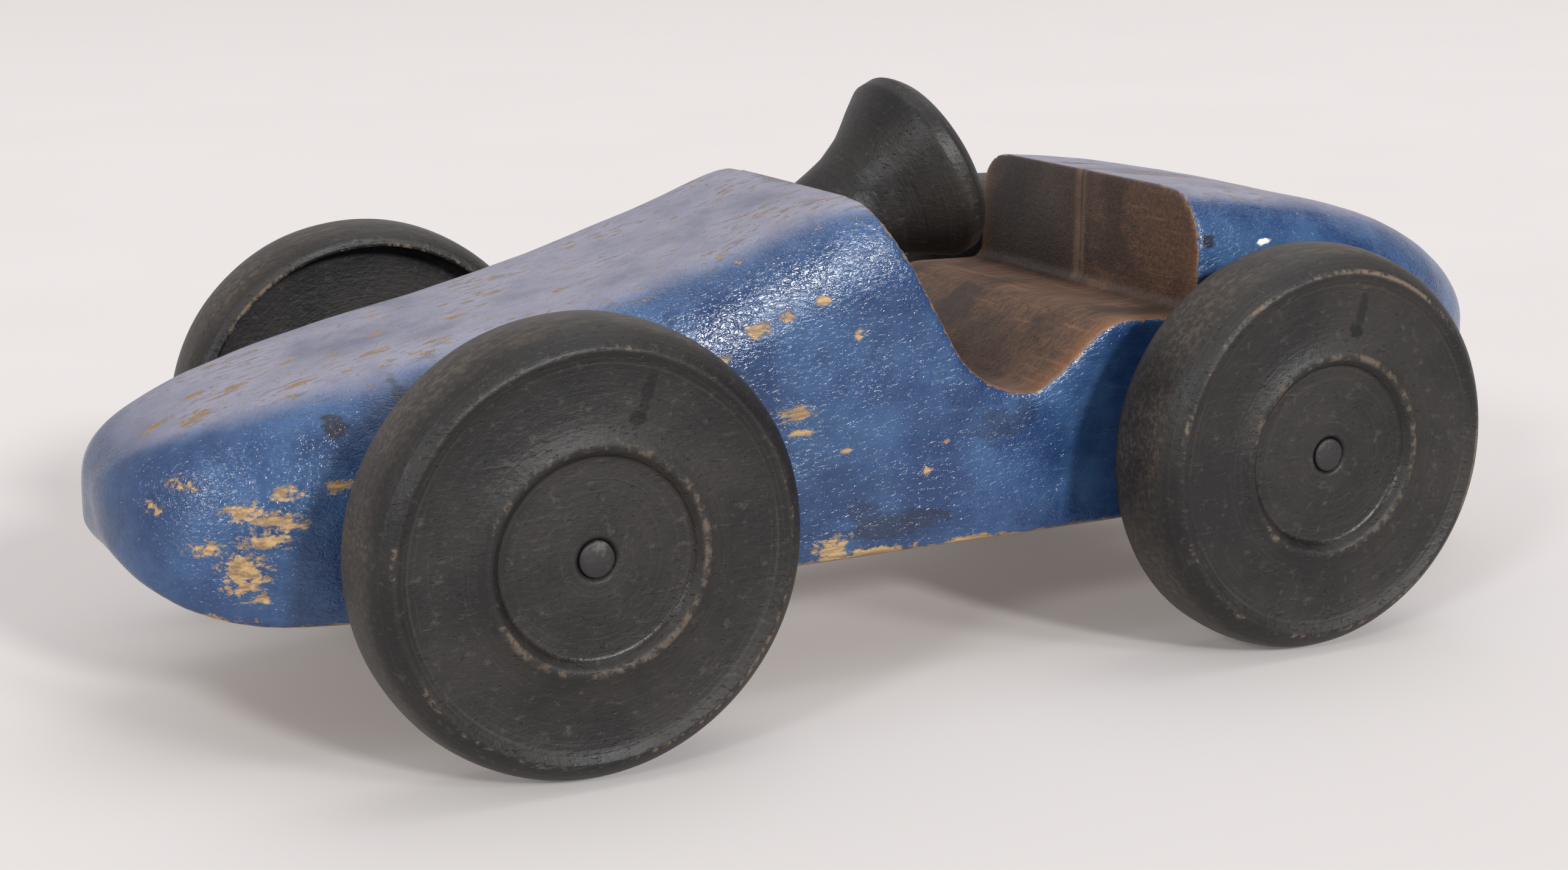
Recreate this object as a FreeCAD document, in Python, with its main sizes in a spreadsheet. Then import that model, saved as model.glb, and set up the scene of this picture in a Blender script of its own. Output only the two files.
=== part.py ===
"""Hand-made wooden toy racing car, in millimetres.

+X points to the nose, +Y to the driver's left, +Z up. The origin lies on the ground, under
the middle of the overall length. The car comes apart into two glued body halves, two dowel
axles, four turned wheels, and a turned steering knob on a peg.
"""
import FreeCAD, Part
import math
import os

from FreeCAD import Placement, Rotation, Vector
import Sketcher

SIZES = {
    "car_length": 383.0,
    "front_overhang": 86.0,
    "wheelbase": 190.0,
    "body_half_width": 51.0,
    "body_height": 83.5,
    "axle_above_bottom": 20.0,
    "wheel_diameter": 100.0,
    "wheel_thickness": 24.5,
    "shoulder_depth": 9.0,
    "shoulder_round": 8.5,
    "inner_round": 3.5,
    "ridge_inset": 6.0,
    "face_dish": 1.0,
    "hub_recess_radius": 23.5,
    "hub_recess_depth": 2.0,
    "hub_lip_width": 3.0,
    "rim_band": 5.5,
    "back_recess_depth": 7.0,
    "boss_radius": 14.0,
    "boss_reach": 9.9,
    "boss_gap": 1.0,
    "axle_diameter": 8.0,
    "bore_clearance": 0.1,
    "cowl_behind_front_axle": 85.8,
    "cowl_slope": 29.5,
    "footwell_height": 36.0,
    "footwell_length": 20.0,
    "footwell_round": 13.0,
    "seat_height": 50.5,
    "seat_rise_length": 17.5,
    "seat_edge_round": 3.5,
    "seat_corner_round": 5.0,
    "seat_back_behind_cowl": 88.7,
    "steering_below_cowl": 14.0,
    "steering_tilt": 26.0,
    "peg_diameter": 8.0,
    "peg_depth": 22.0,
    "knob_gap": 1.3,
    "knob_length": 37.3,
    "knob_neck_radius": 12.5,
    "knob_rim_radius": 24.9,
    "knob_rim_round": 4.0,
    "knob_dish_depth": 5.0,
    "knob_dish_border": 5.0,
}

# Cross-sections of the carved body, nose to tail. Each has the end of the car it is measured
# from and the distance, then the half width as a share of body_half_width, the bottom and top
# as shares of body_height, and the top corner's round on the left and right half as shares of
# the local half width.
SECTIONS = (
    ("nose_tip", "nose", 0.0, 0.16, 0.245, 0.335, 0.60, 0.60),
    ("nose_blunt", "nose", 3.0, 0.44, 0.165, 0.405, 0.62, 0.62),
    ("nose_round", "nose", 11.0, 0.66, 0.080, 0.478, 0.60, 0.66),
    ("chin", "nose", 23.0, 0.81, 0.008, 0.546, 0.54, 0.68),
    ("nose_base", "nose", 41.0, 0.895, -0.020, 0.617, 0.47, 0.62),
    ("bonnet_front", "nose", 71.0, 0.935, -0.020, 0.690, 0.42, 0.60),
    ("bonnet_middle", "nose", 101.0, 0.965, -0.020, 0.768, 0.38, 0.58),
    ("bonnet_back", "nose", 134.0, 0.990, -0.020, 0.886, 0.34, 0.56),
    ("cowl", "nose", 171.0, 1.000, -0.020, 1.000, 0.28, 0.48),
    ("seat_back", "nose", 262.0, 1.000, -0.020, 0.970, 0.26, 0.28),
    ("deck", "tail", 92.0, 0.965, -0.020, 0.922, 0.30, 0.34),
    ("deck_back", "tail", 52.0, 0.855, -0.020, 0.818, 0.38, 0.44),
    ("tail_base", "tail", 27.0, 0.690, 0.012, 0.690, 0.46, 0.50),
    ("tail_round", "tail", 10.0, 0.440, 0.085, 0.550, 0.56, 0.58),
    ("tail_blunt", "tail", 3.0, 0.265, 0.170, 0.455, 0.62, 0.62),
    ("tail_tip", "tail", 0.0, 0.100, 0.255, 0.365, 0.60, 0.60),
)
SECTION_SIZES = ("station", "half_width", "bottom", "top", "left_round", "right_round")

doc = FreeCAD.newDocument("toy_racing_car")
sheet = doc.addObject("Spreadsheet::Sheet", "sizes")


def fill_sheet():
    """Write every driving size into the sheet, one row each, with its name as the alias."""
    rows = list(SIZES.items())
    for name, _end, *values in SECTIONS:
        rows += [(f"{name}_{size}", value) for size, value in zip(SECTION_SIZES, values)]
    for row, (alias, value) in enumerate(rows, start=1):
        sheet.set(f"A{row}", alias)
        sheet.set(f"B{row}", str(value))
        sheet.setAlias(f"B{row}", alias)
    doc.recompute()


def size(alias):
    """Read one driving size back from the sheet."""
    return float(sheet.get(alias))


def origin_plane(body, role):
    """Return the body's own origin plane with this role."""
    return next(item for item in body.Origin.OriginFeatures if item.Role == role)


def new_body(name):
    """Add one PartDesign body, which is one real piece, labelled with its node name."""
    body = doc.addObject("PartDesign::Body", name)
    body.Label = name
    return body


def new_sketch(body, name, role, offset=None):
    """Add a sketch on one of the body's origin planes, moved off it by an expression."""
    sketch = body.newObject("Sketcher::SketchObject", f"{body.Name}_{name}")
    sketch.AttachmentSupport = [(origin_plane(body, role), "")]
    sketch.MapMode = "FlatFace"
    if offset:
        sketch.setExpression("AttachmentOffset.Base.z", offset)
    return sketch


def constrain(sketch, kind, where, expression):
    """Add one named size to a sketch and bind it to the sheet."""
    value = sketch.evalExpression(expression)
    index = sketch.addConstraint(Sketcher.Constraint(kind, *where, float(value)))
    sketch.setExpression(f"Constraints[{index}]", expression)


def arc_between(start, end, radius, left):
    """Return an arc of this radius from start to end, its centre on the left or right."""
    middle = (start + end) * 0.5
    along = (end - start).normalize()
    normal = Vector(-along.y, along.x, 0) * (1 if left else -1)
    half = start.distanceToPoint(end) / 2
    centre = middle + normal * math.sqrt(radius**2 - half**2)
    first, last = (start, end) if left else (end, start)
    angles = [math.atan2(point.y - centre.y, point.x - centre.x) for point in (first, last)]
    return Part.ArcOfCircle(Part.Circle(centre, Vector(0, 0, 1), radius), *angles)


def outline(sketch, points, arcs=None):
    """Draw a closed outline with every corner pinned by a pair of expressions.

    arcs gives, for the stretch that starts at a corner, a radius and the side of its centre.
    """
    arcs = arcs or {}
    places = [Vector(*(float(sketch.evalExpression(term)) for term in point)) for point in points]
    count = len(places)
    starts = []
    for i in range(count):
        start, end = places[i], places[(i + 1) % count]
        if i not in arcs:
            sketch.addGeometry(Part.LineSegment(start, end), False)
            starts.append(1)
            continue
        radius, left = arcs[i]
        value = float(sketch.evalExpression(radius))
        sketch.addGeometry(arc_between(start, end, value, left), False)
        starts.append(1 if left else 2)
    for i in range(count):
        following = (i + 1) % count
        joined = (i, 3 - starts[i], following, starts[following])
        sketch.addConstraint(Sketcher.Constraint("Coincident", *joined))
    for i, (along, up) in enumerate(points):
        constrain(sketch, "DistanceX", (-1, 1, i, starts[i]), along)
        constrain(sketch, "DistanceY", (-1, 1, i, starts[i]), up)
    for i, (radius, _left) in arcs.items():
        constrain(sketch, "Radius", (i,), radius)


def round_edges(body, base, name, wanted, radius):
    """Round every edge of the base feature that the wanted test picks out."""
    doc.recompute()
    names = [f"Edge{i}" for i, edge in enumerate(base.Shape.Edges, start=1) if wanted(edge)]
    if not names:
        raise RuntimeError(f"{body.Name}: no edge found for {name}")
    feature = body.newObject("PartDesign::Fillet", f"{body.Name}_{name}")
    feature.Base = (base, names)
    feature.setExpression("Radius", radius)
    return feature


FRONT_AXLE = "(sizes.car_length / 2 - sizes.front_overhang)"
REAR_AXLE = f"({FRONT_AXLE} - sizes.wheelbase)"
AXLE_HEIGHT = "(sizes.wheel_diameter / 2)"
BODY_BOTTOM = f"({AXLE_HEIGHT} - sizes.axle_above_bottom)"
COWL_BACK = f"({FRONT_AXLE} - sizes.cowl_behind_front_axle)"
COWL_TOP = f"({BODY_BOTTOM} + sizes.body_height)"
INNER_FACE = "(sizes.body_half_width + sizes.boss_gap + sizes.boss_reach)"
OUTER_FACE = f"({INNER_FACE} + sizes.wheel_thickness)"
BORE_RADIUS = "(sizes.axle_diameter / 2 + sizes.bore_clearance)"
PEG_HOLE_RADIUS = "(sizes.peg_diameter / 2 + sizes.bore_clearance)"
# How far the cowl's sloping back face runs rearwards from its top edge down to the footwell.
FACE_RUN = "((sizes.body_height - sizes.footwell_height) * tan(sizes.cowl_slope))"
# Where the steering axis leaves the cowl's back face.
STEERING_X = f"({COWL_BACK} - sizes.steering_below_cowl * tan(sizes.cowl_slope))"
STEERING_Z = f"({COWL_TOP} - sizes.steering_below_cowl)"


def section_sketch(body, section, side):
    """Draw one half cross-section of the body: flat below, upright side, round top corner."""
    name, end = section[:2]
    sign = "-" if end == "nose" else "+"
    tip = "sizes.car_length / 2" if end == "nose" else "-sizes.car_length / 2"
    sketch = new_sketch(body, name, "YZ_Plane", f"{tip} {sign} sizes.{name}_station")
    half_width = f"sizes.body_half_width * sizes.{name}_half_width"
    bottom = f"{BODY_BOTTOM} + sizes.body_height * sizes.{name}_bottom"
    top = f"{BODY_BOTTOM} + sizes.body_height * sizes.{name}_top"
    corner = f"{half_width} * sizes.{name}_{'left' if side > 0 else 'right'}_round"
    terms = (half_width, bottom, top, corner)
    wide, low, high, bend = (float(sketch.evalExpression(term)) for term in terms)
    corners = [
        Vector(0, low),
        Vector(side * wide, low),
        Vector(side * wide, high - bend),
        Vector(side * (wide - bend), high),
        Vector(0, high),
    ]
    arc_start, arc_end = (1, 2) if side > 0 else (2, 1)
    sketch.addGeometry(Part.LineSegment(corners[0], corners[1]), False)
    sketch.addGeometry(Part.LineSegment(corners[1], corners[2]), False)
    sketch.addGeometry(arc_between(corners[2], corners[3], bend, side > 0), False)
    sketch.addGeometry(Part.LineSegment(corners[3], corners[4]), False)
    sketch.addGeometry(Part.LineSegment(corners[4], corners[0]), False)
    for constraint in (
        ("Coincident", 0, 2, 1, 1),
        ("Tangent", 1, 2, 2, arc_start),
        ("Tangent", 2, arc_end, 3, 1),
        ("Coincident", 3, 2, 4, 1),
        ("Coincident", 4, 2, 0, 1),
        ("PointOnObject", 0, 1, -2),
        ("Horizontal", 0),
        ("Vertical", 1),
        ("Horizontal", 3),
        ("Vertical", 4),
    ):
        sketch.addConstraint(Sketcher.Constraint(*constraint))
    constrain(sketch, "Distance", (0,), half_width)
    constrain(sketch, "DistanceY", (-1, 1, 0, 1), bottom)
    constrain(sketch, "DistanceY", (-1, 1, 3, 2), top)
    constrain(sketch, "Radius", (2,), corner)
    return sketch


def cross_edges(places):
    """Make a test for straight cross-car edges that lie on one of these (x, z) places."""

    def wanted(edge):
        ends = [vertex.Point for vertex in edge.Vertexes]
        if len(ends) != 2 or math.hypot(ends[0].x - ends[1].x, ends[0].z - ends[1].z) > 0.01:
            return False
        return any(math.hypot(ends[0].x - x, ends[0].z - z) < 0.05 for x, z in places)

    return wanted


def make_body_half(name, side):
    """Build one half of the body: carved blank, flat underside, sawn cockpit, drilled holes."""
    body = new_body(name)
    sketches = [section_sketch(body, section, side) for section in SECTIONS]
    carved = body.newObject("PartDesign::AdditiveLoft", f"{name}_carved")
    carved.Profile = sketches[0]
    carved.Sections = sketches[1:]
    carved.Ruled = False

    below = f"({BODY_BOTTOM} - sizes.axle_above_bottom)"
    waste_sketch = new_sketch(body, "underside_waste", "XZ_Plane")
    outline(waste_sketch, [
        ("-sizes.car_length / 2", BODY_BOTTOM),
        ("sizes.car_length / 2", BODY_BOTTOM),
        ("sizes.car_length / 2", below),
        ("-sizes.car_length / 2", below),
    ])
    underside = body.newObject("PartDesign::Pocket", f"{name}_underside")
    underside.Profile = waste_sketch
    underside.Type = "ThroughAll"
    underside.Midplane = True

    seat_front = f"({COWL_BACK} - {FACE_RUN} - sizes.footwell_length - sizes.seat_rise_length)"
    seat_back = f"({COWL_BACK} - sizes.seat_back_behind_cowl)"
    floor = f"({BODY_BOTTOM} + sizes.footwell_height)"
    seat = f"({BODY_BOTTOM} + sizes.seat_height)"
    above = f"({COWL_TOP} + sizes.footwell_height)"
    corners = [
        (f"{COWL_BACK} + sizes.footwell_height * tan(sizes.cowl_slope)", above),
        (f"{COWL_BACK} - {FACE_RUN}", floor),
        (f"{COWL_BACK} - {FACE_RUN} - sizes.footwell_length", floor),
        (seat_front, seat),
        (seat_back, seat),
        (seat_back, above),
    ]
    cockpit_sketch = new_sketch(body, "cockpit_outline", "XZ_Plane")
    outline(cockpit_sketch, corners)
    cockpit = body.newObject("PartDesign::Pocket", f"{name}_cockpit")
    cockpit.Profile = cockpit_sketch
    cockpit.Type = "ThroughAll"
    cockpit.Midplane = True

    places = [[float(sheet.evalExpression(term)) for term in corner] for corner in corners]
    rounds = (
        ("footwell_bends", places[1:3], "sizes.footwell_round"),
        ("seat_edge", places[3:4], "sizes.seat_edge_round"),
        ("seat_corner", places[4:5], "sizes.seat_corner_round"),
    )
    base = cockpit
    for label, where, radius in rounds:
        base = round_edges(body, base, label, cross_edges(where), radius)

    bore_sketch = new_sketch(body, "bores_outline", "XZ_Plane")
    for number, axle in enumerate((FRONT_AXLE, REAR_AXLE)):
        centre = Vector(float(sheet.evalExpression(axle)), float(sheet.evalExpression(AXLE_HEIGHT)))
        bore_sketch.addGeometry(Part.Circle(centre, Vector(0, 0, 1), size("axle_diameter") / 2), False)
        constrain(bore_sketch, "DistanceX", (-1, 1, number, 3), axle)
        constrain(bore_sketch, "DistanceY", (-1, 1, number, 3), AXLE_HEIGHT)
        constrain(bore_sketch, "Radius", (number,), BORE_RADIUS)
    bores = body.newObject("PartDesign::Pocket", f"{name}_bores")
    bores.Profile = bore_sketch
    bores.Type = "ThroughAll"
    bores.Midplane = True

    peg_hole = body.newObject("PartDesign::SubtractiveCylinder", f"{name}_peg_hole")
    peg_hole.setExpression("Radius", PEG_HOLE_RADIUS)
    peg_hole.setExpression("Height", "2 * sizes.peg_depth")
    set_steering_placement(peg_hole, "-sizes.peg_depth")
    return body


def set_steering_placement(item, along):
    """Stand an object's own Z along the steering axis, this far out from the cowl's face."""
    item.Placement = Placement(Vector(), Rotation(Vector(0, 1, 0), -90))
    item.setExpression("Placement.Rotation.Angle", "sizes.steering_tilt - 90")
    item.setExpression("Placement.Base.x", f"{STEERING_X} - ({along}) * cos(sizes.steering_tilt)")
    item.setExpression("Placement.Base.z", f"{STEERING_Z} + ({along}) * sin(sizes.steering_tilt)")


def revolve(body, sketch, role):
    """Turn the sketch all the way round one of the body's origin axes."""
    turned = body.newObject("PartDesign::Revolution", f"{body.Name}_turned")
    turned.Profile = sketch
    turned.ReferenceAxis = (origin_plane(body, role), [""])
    turned.Angle = 360.0
    return turned


def make_wheel(name, axle, side):
    """Turn one wheel about its own Z, outer face upwards, and set it on the end of its axle."""
    body = new_body(name)
    sketch = new_sketch(body, "profile", "XZ_Plane")
    rim = "sizes.wheel_diameter / 2"
    ridge = f"{rim} - sizes.ridge_inset"
    back_recess = f"{rim} - sizes.rim_band"
    bore = "sizes.axle_diameter / 2"
    back = "-sizes.wheel_thickness"
    boss_end = f"{back} - sizes.boss_reach"
    back_floor = f"{back} + sizes.back_recess_depth"
    lip_outside = "sizes.hub_recess_radius + sizes.hub_lip_width"
    dished = "-sizes.face_dish"
    outline(
        sketch,
        [
            (bore, "-sizes.hub_recess_depth"),
            ("sizes.hub_recess_radius", "-sizes.hub_recess_depth"),
            ("sizes.hub_recess_radius", "0"),
            (lip_outside, dished),
            (f"{ridge} - sizes.hub_lip_width", dished),
            (ridge, "0"),
            (rim, "-sizes.shoulder_depth"),
            (rim, f"{back} + sizes.inner_round"),
            (f"{rim} - sizes.inner_round", back),
            (back_recess, back),
            (back_recess, back_floor),
            ("sizes.boss_radius", back_floor),
            ("sizes.boss_radius", boss_end),
            (bore, boss_end),
        ],
        {5: ("sizes.shoulder_round", False), 7: ("sizes.inner_round", False)},
    )
    revolve(body, sketch, "Z_Axis")
    body.Placement = Placement(Vector(), Rotation(Vector(1, 0, 0), -90 * side))
    body.setExpression("Placement.Base.x", axle)
    body.setExpression("Placement.Base.y", f"{side} * {OUTER_FACE}")
    body.setExpression("Placement.Base.z", AXLE_HEIGHT)
    return body


def make_axle(name, axle):
    """Cut one dowel that reaches the hub recess floor of both its wheels."""
    dowel = doc.addObject("Part::Cylinder", name)
    dowel.Label = name
    half_length = f"({OUTER_FACE} - sizes.hub_recess_depth)"
    dowel.setExpression("Radius", "sizes.axle_diameter / 2")
    dowel.setExpression("Height", f"2 * {half_length}")
    dowel.Placement = Placement(Vector(), Rotation(Vector(1, 0, 0), -90))
    dowel.setExpression("Placement.Base.x", axle)
    dowel.setExpression("Placement.Base.y", f"-{half_length}")
    dowel.setExpression("Placement.Base.z", AXLE_HEIGHT)
    return dowel


def make_knob():
    """Turn the trumpet-shaped steering knob, neck at its own origin, and stand it on its peg."""
    body = new_body("steering_knob")
    sketch = new_sketch(body, "profile", "XZ_Plane")
    bore = "sizes.peg_diameter / 2"
    rim = "sizes.knob_rim_radius"
    widest = "sizes.knob_length - 1.5 * sizes.knob_rim_round"
    flare_foot = "sizes.knob_length - 2.5 * sizes.knob_rim_round"
    dish_edge = f"{rim} - sizes.knob_dish_border"
    outline(
        sketch,
        [
            (bore, "0"),
            ("sizes.knob_neck_radius", "0"),
            (f"{rim} - sizes.knob_rim_round", flare_foot),
            (rim, widest),
            (f"{rim} - sizes.knob_rim_round", "sizes.knob_length"),
            (dish_edge, "sizes.knob_length"),
            (bore, "sizes.knob_length - sizes.knob_dish_depth"),
        ],
        {
            1: ("sizes.knob_length", False),
            2: ("1.5 * sizes.knob_rim_round", True),
            3: ("1.5 * sizes.knob_rim_round", True),
        },
    )
    revolve(body, sketch, "Z_Axis")
    set_steering_placement(body, "sizes.knob_gap")
    return body


def make_peg():
    """Cut the dowel that the knob is glued to and that turns in the cowl."""
    peg = doc.addObject("Part::Cylinder", "steering_peg")
    peg.Label = "steering_peg"
    in_knob = "sizes.knob_length - sizes.knob_dish_depth"
    in_cowl = "sizes.peg_depth - sizes.knob_gap"
    peg.setExpression("Radius", "sizes.peg_diameter / 2")
    peg.setExpression("Height", f"sizes.knob_gap + {in_knob} + {in_cowl}")
    set_steering_placement(peg, f"-({in_cowl})")
    return peg


def check(pieces):
    """Stop if any object failed to build or any piece isn't one valid closed solid."""
    for item in doc.Objects:
        if "Invalid" in item.State or "Error" in item.State:
            raise RuntimeError(f"{item.Name} is {item.State}")
    for piece in pieces:
        if piece.Shape.isNull() or not piece.Shape.isValid() or len(piece.Shape.Solids) != 1:
            raise RuntimeError(f"{piece.Label} isn't one valid solid")


fill_sheet()
pieces = [make_body_half("left_body_half", 1), make_body_half("right_body_half", -1)]
for end, axle in (("front", FRONT_AXLE), ("rear", REAR_AXLE)):
    pieces.append(make_axle(f"{end}_axle", axle))
    pieces.append(make_wheel(f"{end}_left_wheel", axle, 1))
    pieces.append(make_wheel(f"{end}_right_wheel", axle, -1))
pieces += [make_knob(), make_peg()]
doc.recompute()
check(pieces)

os.makedirs("parts", exist_ok=True)
for piece in pieces:
    piece.Shape.exportStep(f"parts/{piece.Label}.step")
    print(f"{piece.Label:18s} {piece.Shape.Volume / 1000:9.2f} cm3  {piece.Shape.BoundBox}")
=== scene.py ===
"""Looks of a hand-made wooden toy racing car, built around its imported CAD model, in metres."""
import math

import bmesh
import bpy
from mathutils import Matrix, Vector, noise


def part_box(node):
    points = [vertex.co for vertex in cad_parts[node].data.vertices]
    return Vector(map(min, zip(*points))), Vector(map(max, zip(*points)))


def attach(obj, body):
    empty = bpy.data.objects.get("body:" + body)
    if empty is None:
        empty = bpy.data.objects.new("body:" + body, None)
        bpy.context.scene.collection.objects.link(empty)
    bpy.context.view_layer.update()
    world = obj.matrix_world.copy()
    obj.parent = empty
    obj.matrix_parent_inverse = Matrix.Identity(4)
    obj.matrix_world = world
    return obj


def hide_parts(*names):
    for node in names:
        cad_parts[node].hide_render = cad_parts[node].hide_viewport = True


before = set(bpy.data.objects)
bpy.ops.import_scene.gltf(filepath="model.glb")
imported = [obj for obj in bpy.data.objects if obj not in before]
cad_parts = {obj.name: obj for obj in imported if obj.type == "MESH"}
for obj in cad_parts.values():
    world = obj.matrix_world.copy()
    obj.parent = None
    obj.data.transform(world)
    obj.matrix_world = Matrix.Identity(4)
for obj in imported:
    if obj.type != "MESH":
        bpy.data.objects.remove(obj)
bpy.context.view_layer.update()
MM = 0.001


# The body blank. Two solid boards glued side by side, sawn flat underneath, then carved with
# round shoulders, a round nose and tail, and a bonnet that sweeps up to the cowl. The far
# shoulder was taken down more than the near one.
# Each row: place along the car, half width, bottom, top, near and far shoulder rounds, in mm.
BLANK = (
    (191.2, 6, 49.5, 56.5, 3.0, 3.0),
    (190.6, 13, 45.5, 60.0, 6.5, 6.5),
    (187.6, 22.5, 40.8, 64.6, 11.5, 11.5),
    (181.5, 30.5, 36.2, 69.0, 16.0, 17.0),
    (172.0, 37.5, 32.0, 73.4, 19.0, 23.0),
    (160.0, 42.6, 30.0, 77.6, 21.0, 26.0),
    (141.0, 46.2, 30.0, 82.4, 22.0, 28.5),
    (120.0, 48.0, 30.0, 87.0, 22.5, 30.0),
    (96.0, 49.3, 30.0, 92.2, 22.0, 31.0),
    (72.0, 50.2, 30.0, 98.0, 20.0, 31.0),
    (48.0, 50.8, 30.0, 105.4, 17.0, 30.0),
    (31.0, 51.0, 30.0, 111.4, 15.0, 28.0),
    (21.0, 51.0, 30.0, 114.0, 14.0, 26.5),
    (4.0, 51.0, 30.0, 114.0, 13.5, 23.0),
    (-33.0, 51.0, 30.0, 112.6, 13.0, 15.0),
    (-68.5, 51.0, 30.0, 110.8, 13.0, 11.0),
    (-98.0, 49.4, 30.0, 107.4, 14.5, 13.0),
    (-126.0, 45.6, 30.0, 101.6, 16.0, 16.5),
    (-148.0, 40.4, 30.0, 94.6, 16.5, 19.0),
    (-165.0, 33.2, 30.8, 86.8, 16.0, 18.0),
    (-177.0, 25.0, 34.5, 79.2, 13.0, 14.0),
    (-185.0, 17.6, 39.0, 72.0, 9.5, 9.5),
    (-189.6, 10.5, 44.5, 64.5, 5.2, 5.2),
    (-191.0, 5.0, 49.0, 58.5, 2.5, 2.5),
)
SHOULDER_STEPS = 8
# How much further the near shoulder reaches down the side than in across the top.
NEAR_FALL_BONNET = 1.5
NEAR_FALL_DECK = 1.15
# The cockpit's outline from the side: x, z and the round of each bend, in mm.
COCKPIT = (
    (34.2, 140.0, 0.0),
    (19.7, 113.5, 1.0),
    (-7.4, 65.4, 14.0),
    (-25.5, 65.6, 11.0),
    (-38.5, 77.6, 5.0),
    (-45.5, 80.8, 3.0),
    (-68.4, 80.3, 3.0),
    (-69.2, 140.0, 0.0),
)
# The axle bores' x and z, and the radius of every bore.
BORES = ((105.5, 50.0), (-84.5, 50.0))
BORE_RADIUS = 4.1
BORE_STEPS = 40
# How deep the steering drill goes below the cowl's face, and how far outside it starts.
STEERING_BORE_DEPTH = 22
STEERING_BORE_LEAD = 10
# The cuts run past the body's sides, to this distance from its middle.
CUT_REACH = 70
# The grain of the sanded surface, the depth of the carving marks, and the distance from the
# cockpit beyond which a point counts as untouched by the saw.
SANDED_GRAIN = 1.05
CARVING_MARKS = 0.42
UNTOUCHED = 30.0
# Where the peg's axis meets the cowl's back face, and which way it leans.
STEERING_FOOT = Vector((11.78, 0.0, 99.5))
STEERING_TILT = math.radians(26.0)
STEERING_AXIS = Vector((-math.cos(STEERING_TILT), 0.0, math.sin(STEERING_TILT)))


def new_piece(bm, name):
    """Put a finished bmesh, whose sizes are in mm, into a new object at the origin."""
    bmesh.ops.scale(bm, vec=(MM, MM, MM), verts=bm.verts)
    mesh = bpy.data.meshes.new(name)
    bm.to_mesh(mesh)
    bm.free()
    piece = bpy.data.objects.new(name, mesh)
    bpy.context.scene.collection.objects.link(piece)
    return piece


def shade_smooth(bm):
    """Shade every face of a bmesh as part of one smooth surface."""
    for face in bm.faces:
        face.smooth = True


def round_corner(bm, corner, radius, steps):
    """Round one corner of a flat outline."""
    if radius > 0:
        bmesh.ops.bevel(bm, geom=[corner], offset=radius, offset_type="OFFSET", segments=steps,
                        profile=0.5, affect="VERTICES", material=-1)


blank_bm = bmesh.new()
rings = []
for x, half_width, bottom, top, near_round, far_round in BLANK:
    section = bmesh.new()
    turn = Matrix.Rotation(math.radians(90), 4, "Y")
    bmesh.ops.create_grid(section, x_segments=1, y_segments=1, size=1.0, matrix=turn)
    for vert in section.verts:
        vert.co = (x, half_width * vert.co.y, top if vert.co.z > 0 else bottom)
    for vert in list(section.verts):
        if vert.co.z < top - 0.01:
            round_corner(section, vert, 2.0, 2)
        else:
            round_corner(section, vert, near_round if vert.co.y > 0 else far_round, SHOULDER_STEPS)
    fall = NEAR_FALL_BONNET if x > 0 else NEAR_FALL_DECK
    for vert in section.verts:
        if vert.co.y > 0 and vert.co.z > top - near_round - 0.01:
            vert.co.z = top - (top - vert.co.z) * fall
    spare = bpy.data.meshes.new("section")
    section.to_mesh(spare)
    section.free()
    known = set(blank_bm.edges)
    blank_bm.from_mesh(spare)
    bpy.data.meshes.remove(spare)
    rings.append([edge for edge in blank_bm.edges if edge not in known])
middle_faces = [face for face in blank_bm.faces
                if abs(face.calc_center_median().x) < BLANK[0][0] - 0.1
                and abs(face.calc_center_median().x - BLANK[-1][0]) > 0.1]
bmesh.ops.delete(blank_bm, geom=middle_faces, context="FACES_ONLY")
for front, back in zip(rings, rings[1:]):
    bmesh.ops.bridge_loops(blank_bm, edges=front + back)
bmesh.ops.recalc_face_normals(blank_bm, faces=blank_bm.faces)
blank = new_piece(blank_bm, "body_blank")
blank.modifiers.new("carved", "SUBSURF").levels = 2


# The saw and drill cuts: the cockpit across both boards, two axle bores and the steering
# peg's hole. They are cut through the blank, which is then softened a little by sanding.
def cut_from(target, cutter):
    """Take the cutter's shape out of the target when its modifiers are applied."""
    cut = target.modifiers.new("cut", "BOOLEAN")
    cut.operation = "DIFFERENCE"
    cut.solver = "EXACT"
    cut.object = cutter
    cutter.hide_render = True


def rod_between(bm, start, end, radius, steps):
    """Add one closed round rod to a bmesh."""
    along = end - start
    lean = along.to_track_quat("Z", "Y").to_matrix().to_4x4()
    bmesh.ops.create_cone(bm, cap_ends=True, segments=steps, radius1=radius, radius2=radius,
                          depth=along.length, matrix=Matrix.Translation((start + end) / 2) @ lean)


cockpit_bm = bmesh.new()
cockpit_corners = [cockpit_bm.verts.new((x, -CUT_REACH, z)) for x, z, _bend in COCKPIT]
cockpit_bm.faces.new(cockpit_corners)
for corner, (_x, _z, bend) in zip(cockpit_corners, COCKPIT):
    round_corner(cockpit_bm, corner, bend, 8)
cut_line = [(vert.co.x, vert.co.z) for vert in cockpit_bm.faces[:][0].verts]
walls = bmesh.ops.extrude_face_region(cockpit_bm, geom=cockpit_bm.faces[:])
moved = [item for item in walls["geom"] if isinstance(item, bmesh.types.BMVert)]
bmesh.ops.translate(cockpit_bm, vec=(0, 2 * CUT_REACH, 0), verts=moved)
bmesh.ops.recalc_face_normals(cockpit_bm, faces=cockpit_bm.faces)
cockpit_cutter = new_piece(cockpit_bm, "cockpit_cutter")

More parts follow.
